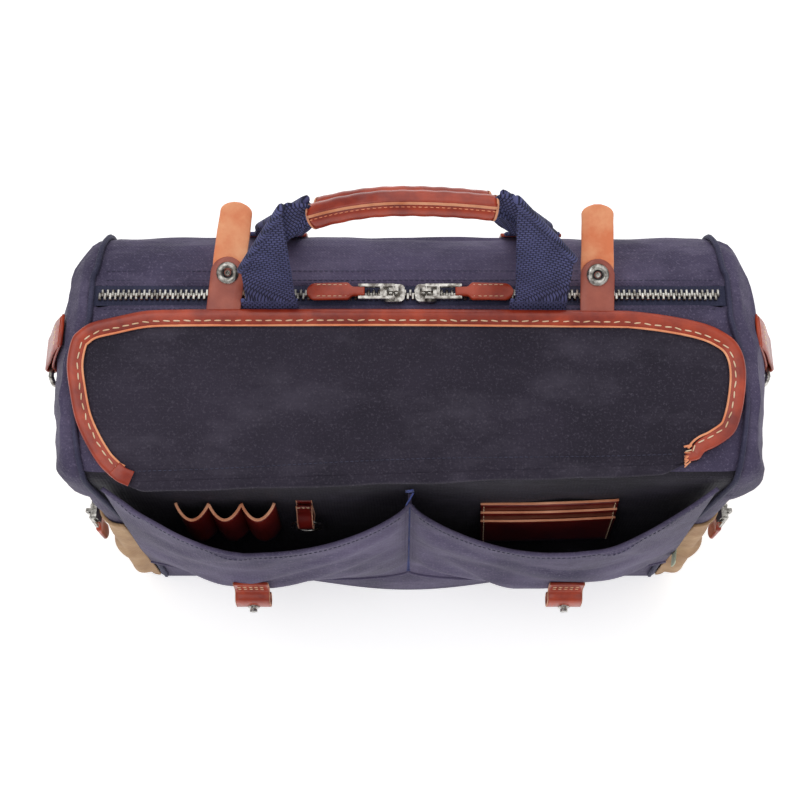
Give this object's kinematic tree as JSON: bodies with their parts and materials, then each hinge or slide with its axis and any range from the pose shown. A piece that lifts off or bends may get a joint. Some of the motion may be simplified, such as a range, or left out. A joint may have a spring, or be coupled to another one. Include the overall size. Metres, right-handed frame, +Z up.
{
  "type": "messenger bag",
  "caption": "Wide waxed-canvas messenger bag with a leather-bound flap folded back, two closing straps, webbing handles, zipped top, scooped front pockets and zipped end pockets.",
  "frame": {"origin": "centre of the base on the floor", "axes": "+X to the bag's right along its length as seen from the front, +Y towards its back, +Z up"},
  "size_m": [0.513, 0.23, 0.4265],
  "materials": {
    "canvas": "waxed navy canvas, dull with soft fold lines",
    "flap_lining": "dark purple-navy waxed canvas, inner face",
    "piping": "navy corded piping",
    "webbing": "coarse navy cotton webbing",
    "trim_leather": "waxed tan-orange leather, cut edges raw",
    "strap_leather": "tan leather, flesh side up",
    "pocket_leather": "dark red-brown leather with pale cut edges",
    "twill": "tan cotton twill",
    "zip_tape": "woven navy zip tape",
    "zip_metal": "antique nickel",
    "ring_metal": "antique nickel, worn",
    "board": "fibre stiffener",
    "padding": "quilted foam divider",
    "label": "blank pale green woven label"
  },
  "bodies": {
    "bag": {"top_front_panel": "canvas", "top_rear_panel": "canvas", "bottom_panel": "canvas", "front_panel": "canvas", "back_panel": "canvas", "front_pocket_panel": "canvas", "end_gusset_left": "canvas", "end_gusset_right": "canvas", "lower_gusset_left": "canvas", "lower_gusset_right": "canvas", "seam_piping": "piping", "base_board": "board", "padded_divider": "padding", "main_zip_tape": "zip_tape", "side_zip_tape_left": "zip_tape", "side_zip_tape_right": "zip_tape", "main_zip_teeth": "zip_metal", "side_zip_teeth_left": "zip_metal", "side_zip_teeth_right": "zip_metal", "rear_handle_patches": "trim_leather", "stud_tab_left": "trim_leather", "stud_tab_right": "trim_leather", "d_ring_loop_left": "trim_leather", "d_ring_loop_right": "trim_leather", "front_handle_anchors": "webbing", "pen_loops": "pocket_leather", "card_holder": "pocket_leather", "key_leash": "pocket_leather", "snap_stud_left": "ring_metal", "snap_stud_right": "ring_metal", "side_pocket_left": "twill", "side_pocket_right": "twill", "seam_label": "label"},
    "flap": {"flap_panel": "flap_lining", "flap_binding": "trim_leather", "strap_base_left": "strap_leather", "strap_base_right": "strap_leather"},
    "strap_left": {"strap_left": "strap_leather", "snap_socket_left": "ring_metal"},
    "strap_right": {"strap_right": "strap_leather", "snap_socket_right": "ring_metal"},
    "front_handle": {"front_handle_webbing": "webbing", "front_handle_grip": "trim_leather"},
    "rear_handle": {"rear_handle_webbing": "webbing", "rear_handle_grip": "trim_leather"},
    "d_ring_left": {"d_ring_left": "ring_metal"},
    "main_slider_left": {"main_slider_left": "zip_metal"},
    "main_pull_left": {"main_pull_left": "zip_metal"},
    "main_pull_tab_left": {"main_pull_tab_left": "trim_leather"},
    "side_slider_left": {"side_slider_left": "zip_metal"},
    "side_pull_left": {"side_pull_left": "zip_metal"},
    "side_pull_tab_left": {"side_pull_tab_left": "trim_leather"},
    "d_ring_right": {"d_ring_right": "ring_metal"},
    "main_slider_right": {"main_slider_right": "zip_metal"},
    "main_pull_right": {"main_pull_right": "zip_metal"},
    "main_pull_tab_right": {"main_pull_tab_right": "trim_leather"},
    "side_slider_right": {"side_slider_right": "zip_metal"},
    "side_pull_right": {"side_pull_right": "zip_metal"},
    "side_pull_tab_right": {"side_pull_tab_right": "trim_leather"},
    "key_ring": {"key_ring": "ring_metal"}
  },
  "joints": [
    {"name": "flap_fold", "type": "hinge", "parent": "bag", "child": "flap", "pos_m": [0, -0.089, 0.267], "axis": [1, 0, 0], "range_deg": [0, 212]},
    {"name": "strap_bend_left", "type": "hinge", "parent": "flap", "child": "strap_left", "pos_m": [-0.124, 0.0146, 0.306], "axis": [1, 0, 0], "range_deg": [-15, 36], "stiffness_Nm_per_rad": 0.03},
    {"name": "strap_bend_right", "type": "hinge", "parent": "flap", "child": "strap_right", "pos_m": [0.124, 0.0146, 0.306], "axis": [1, 0, 0], "range_deg": [-15, 36], "stiffness_Nm_per_rad": 0.03},
    {"name": "front_handle_swing", "type": "hinge", "parent": "bag", "child": "front_handle", "pos_m": [-0.004, 0.018, 0.313], "axis": [1, 0, 0], "range_deg": [0, 85], "stiffness_Nm_per_rad": 0.5},
    {"name": "rear_handle_swing", "type": "hinge", "parent": "bag", "child": "rear_handle", "pos_m": [-0.004, 0.08, 0.291], "axis": [-1, 0, 0], "range_deg": [0, 90], "stiffness_Nm_per_rad": 0.5},
    {"name": "d_ring_swing_left", "type": "hinge", "parent": "bag", "child": "d_ring_left", "pos_m": [-0.25225, 0.01, 0.24], "axis": [0, 1, 0], "range_deg": [-4, 130]},
    {"name": "main_slider_run_left", "type": "slide", "parent": "bag", "child": "main_slider_left", "axis": [-1, 0, 0], "range_m": [0, 0.178]},
    {"name": "main_pull_lift_left", "type": "hinge", "parent": "main_slider_left", "child": "main_pull_left", "pos_m": [-0.011, 0.028, 0.30585], "axis": [0, 1, 0], "range_deg": [0, 80]},
    {"name": "main_tab_fold_left", "type": "hinge", "parent": "main_pull_left", "child": "main_pull_tab_left", "pos_m": [-0.033, 0.028, 0.30585], "axis": [0, 1, 0], "range_deg": [0, 25]},
    {"name": "side_slider_run_left", "type": "slide", "parent": "bag", "child": "side_slider_left", "axis": [0, 1, 0], "range_m": [0, 0.11]},
    {"name": "side_pull_swing_left", "type": "hinge", "parent": "side_slider_left", "child": "side_pull_left", "pos_m": [-0.23899, -0.074, 0.14145], "axis": [0, 1, 0], "range_deg": [-3, 90]},
    {"name": "side_tab_swing_left", "type": "hinge", "parent": "side_pull_left", "child": "side_pull_tab_left", "pos_m": [-0.23899, -0.074, 0.11945], "axis": [0, 1, 0], "range_deg": [-3, 60]},
    {"name": "d_ring_swing_right", "type": "hinge", "parent": "bag", "child": "d_ring_right", "pos_m": [0.25225, 0.01, 0.24], "axis": [0, -1, 0], "range_deg": [-4, 130]},
    {"name": "main_slider_run_right", "type": "slide", "parent": "bag", "child": "main_slider_right", "axis": [1, 0, 0], "range_m": [0, 0.178]},
    {"name": "main_pull_lift_right", "type": "hinge", "parent": "main_slider_right", "child": "main_pull_right", "pos_m": [0.011, 0.028, 0.30585], "axis": [0, -1, 0], "range_deg": [0, 80]},
    {"name": "main_tab_fold_right", "type": "hinge", "parent": "main_pull_right", "child": "main_pull_tab_right", "pos_m": [0.033, 0.028, 0.30585], "axis": [0, -1, 0], "range_deg": [0, 25]},
    {"name": "side_slider_run_right", "type": "slide", "parent": "bag", "child": "side_slider_right", "axis": [0, 1, 0], "range_m": [0, 0.11]},
    {"name": "side_pull_swing_right", "type": "hinge", "parent": "side_slider_right", "child": "side_pull_right", "pos_m": [0.23899, -0.074, 0.14145], "axis": [0, -1, 0], "range_deg": [-3, 90]},
    {"name": "side_tab_swing_right", "type": "hinge", "parent": "side_pull_right", "child": "side_pull_tab_right", "pos_m": [0.23899, -0.074, 0.11945], "axis": [0, -1, 0], "range_deg": [-3, 60]},
    {"name": "key_ring_swing", "type": "hinge", "parent": "bag", "child": "key_ring", "pos_m": [-0.074, -0.0945, 0.182], "axis": [-1, 0, 0], "range_deg": [-10, 80]}
  ]
}
